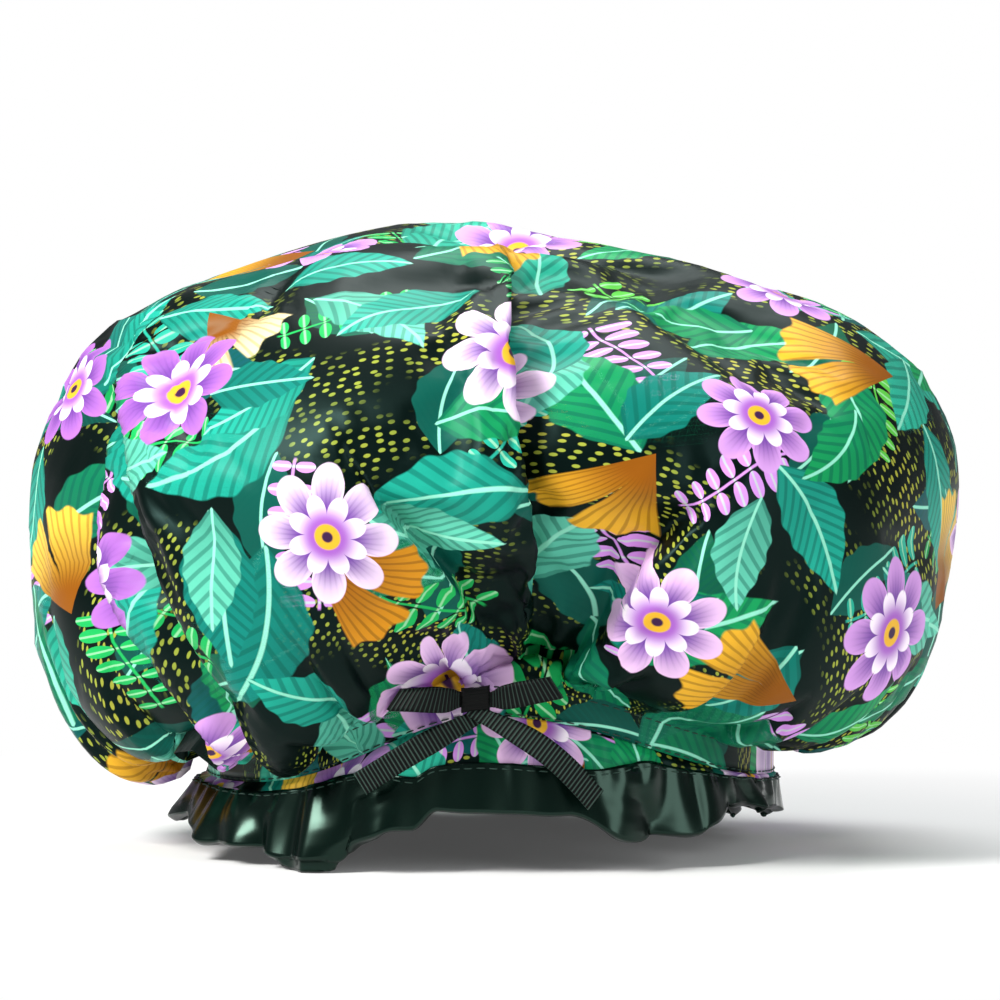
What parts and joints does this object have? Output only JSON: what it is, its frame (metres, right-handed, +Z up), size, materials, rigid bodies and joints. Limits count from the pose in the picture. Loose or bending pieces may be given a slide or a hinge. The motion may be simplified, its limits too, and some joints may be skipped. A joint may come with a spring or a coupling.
{
  "type": "shower cap",
  "caption": "Puffed satin shower cap gathered on an elastic casing, with a waterproof lining, a ruffled frill edged in dark satin and a ribbon bow at the front.",
  "frame": {"origin": "on the surface that the hem stands on, under the middle of the cap", "axes": "+X to the right as the bow is seen from the front, +Y from the bow to the back, +Z up through the crown"},
  "size_m": [0.274, 0.2528, 0.181],
  "materials": {
    "printed_satin": "printed satin",
    "dark_satin": "glossy satin",
    "waterproof_lining": "coated, smooth",
    "grosgrain_ribbon": "ribbed, matte",
    "elastic_webbing": "woven",
    "sewing_thread": "matte"
  },
  "bodies": {
    "cap": {"crown_outer": "printed_satin", "crown_lining": "waterproof_lining", "elastic_band": "elastic_webbing", "upper_casing_thread": "sewing_thread", "lower_casing_thread": "sewing_thread", "frill_outer": "printed_satin", "frill_lining": "dark_satin", "hem_band": "dark_satin", "bow_knot": "grosgrain_ribbon", "bow_tack": "sewing_thread"},
    "left_loop": {"bow_loop_left": "grosgrain_ribbon"},
    "right_loop": {"bow_loop_right": "grosgrain_ribbon"},
    "left_tail": {"bow_tail_left": "grosgrain_ribbon"},
    "right_tail": {"bow_tail_right": "grosgrain_ribbon"}
  },
  "joints": [
    {"name": "left_loop_swing", "type": "hinge", "parent": "cap", "child": "left_loop", "pos_m": [-0.00905, -0.08915, 0.049], "axis": [0.0698, 0, 0.9976], "range_deg": [0, 40]},
    {"name": "right_loop_swing", "type": "hinge", "parent": "cap", "child": "right_loop", "pos_m": [0.0011, -0.08915, 0.049], "axis": [0.1736, 0, -0.9848], "range_deg": [0, 40]},
    {"name": "left_tail_lift", "type": "hinge", "parent": "cap", "child": "left_tail", "pos_m": [-0.0063, -0.08725, 0.04165], "axis": [-0.515, 0, 0.8572], "range_deg": [0, 70]},
    {"name": "right_tail_lift", "type": "hinge", "parent": "cap", "child": "right_tail", "pos_m": [-0.00236, -0.08865, 0.04189], "axis": [-0.6157, 0, -0.788], "range_deg": [0, 70]}
  ]
}
